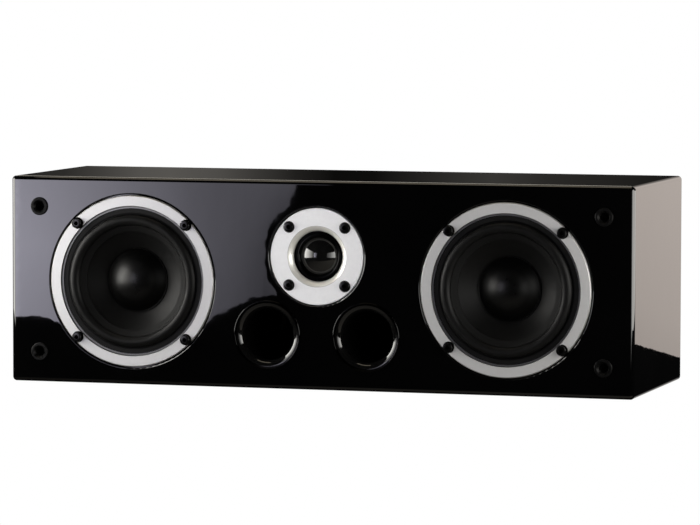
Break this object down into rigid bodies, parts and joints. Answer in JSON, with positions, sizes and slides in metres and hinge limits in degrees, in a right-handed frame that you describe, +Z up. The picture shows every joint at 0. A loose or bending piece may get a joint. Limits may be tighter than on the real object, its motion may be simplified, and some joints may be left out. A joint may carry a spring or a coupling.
{
  "type": "center channel speaker",
  "caption": "Center channel speaker: long gloss black cabinet with woofers in silver rings, a dome tweeter on a silver plate, flared ports and rear binding posts.",
  "frame": {"origin": "centre of the cabinet's bottom face, on the surface that it stands on", "axes": "+X to the right seen from the front, along the length; +Y to the back; +Z up; the front faces -Y"},
  "size_m": [0.465, 0.1653, 0.15],
  "materials": {
    "lacquer": "high gloss black lacquer on fibreboard",
    "board": "bare fibreboard",
    "wadding": "loose polyester wadding",
    "silver": "fine satin silver",
    "black_screw": "black oxide",
    "small_screw": "black zinc",
    "casting": "black coated casting",
    "foam": "closed-cell foam",
    "surround": "smooth satin rubber",
    "cone": "satin pressed cone",
    "cap": "satin black cap",
    "copper": "enamelled copper wire",
    "spider": "treated woven cotton",
    "steel": "zinc-plated steel",
    "ferrite": "sintered ferrite",
    "film": "coated dome film",
    "port": "gloss black moulding",
    "socket": "satin black moulding",
    "cup": "black moulding",
    "post": "gold-plated",
    "red_knob": "red moulding",
    "black_knob": "black moulding",
    "circuit": "green circuit board",
    "capacitor": "film capacitor wrap",
    "cement": "white cement",
    "lead": "wire insulation"
  },
  "bodies": {
    "cabinet": {"back_panel": "lacquer", "black_post": "post", "cabinet_wrap": "lacquer", "capacitors": "capacitor", "crossover_board": "circuit", "crossover_screws": "small_screw", "crossover_spacers": "cup", "front_baffle": "lacquer", "grille_sockets": "socket", "input_lead": "lead", "left_brace": "board", "left_magnet": "ferrite", "left_port_tube": "port", "left_spider": "spider", "left_surround": "surround", "left_top_plate": "steel", "left_trim_ring": "silver", "left_wadding": "wadding", "left_woofer_frame": "casting", "left_woofer_gasket": "foam", "left_woofer_lead": "lead", "left_woofer_screws": "black_screw", "left_yoke": "steel", "post_nuts": "post", "red_post": "post", "resistor": "cement", "right_brace": "board", "right_magnet": "ferrite", "right_port_tube": "port", "right_spider": "spider", "right_surround": "surround", "right_top_plate": "steel", "right_trim_ring": "silver", "right_wadding": "wadding", "right_woofer_frame": "casting", "right_woofer_gasket": "foam", "right_woofer_lead": "lead", "right_woofer_screws": "black_screw", "right_yoke": "steel", "terminal_cup": "cup", "terminal_screws": "small_screw", "tweeter_dome": "film", "tweeter_faceplate": "silver", "tweeter_gasket": "foam", "tweeter_inductor": "copper", "tweeter_lead": "lead", "tweeter_magnet": "ferrite", "tweeter_pole_plate": "steel", "tweeter_screws": "black_screw", "tweeter_voice_coil": "copper", "tweeter_yoke": "steel", "woofer_inductor": "copper"},
    "left_cone_body": {"left_cone": "cone", "left_dust_cap": "cap", "left_voice_coil": "copper"},
    "right_cone_body": {"right_cone": "cone", "right_dust_cap": "cap", "right_voice_coil": "copper"},
    "red_knob_body": {"red_knob": "red_knob"},
    "black_knob_body": {"black_knob": "black_knob"}
  },
  "joints": [
    {"name": "left_cone_travel", "type": "slide", "parent": "cabinet", "child": "left_cone_body", "axis": [0, 1, 0], "range_m": [-0.003, 0.003], "stiffness_N_per_m": 1100, "deforming": ["left_surround", "left_spider"]},
    {"name": "right_cone_travel", "type": "slide", "parent": "cabinet", "child": "right_cone_body", "axis": [0, 1, 0], "range_m": [-0.003, 0.003], "stiffness_N_per_m": 1100, "deforming": ["right_surround", "right_spider"]},
    {"name": "red_knob_turn", "type": "hinge", "parent": "cabinet", "child": "red_knob_body", "pos_m": [-0.00953, 0.0715, 0.075], "axis": [0, 1, 0], "range_deg": [0, 1080]},
    {"name": "black_knob_turn", "type": "hinge", "parent": "cabinet", "child": "black_knob_body", "pos_m": [0.00953, 0.0715, 0.075], "axis": [0, 1, 0], "range_deg": [0, 1080]}
  ]
}
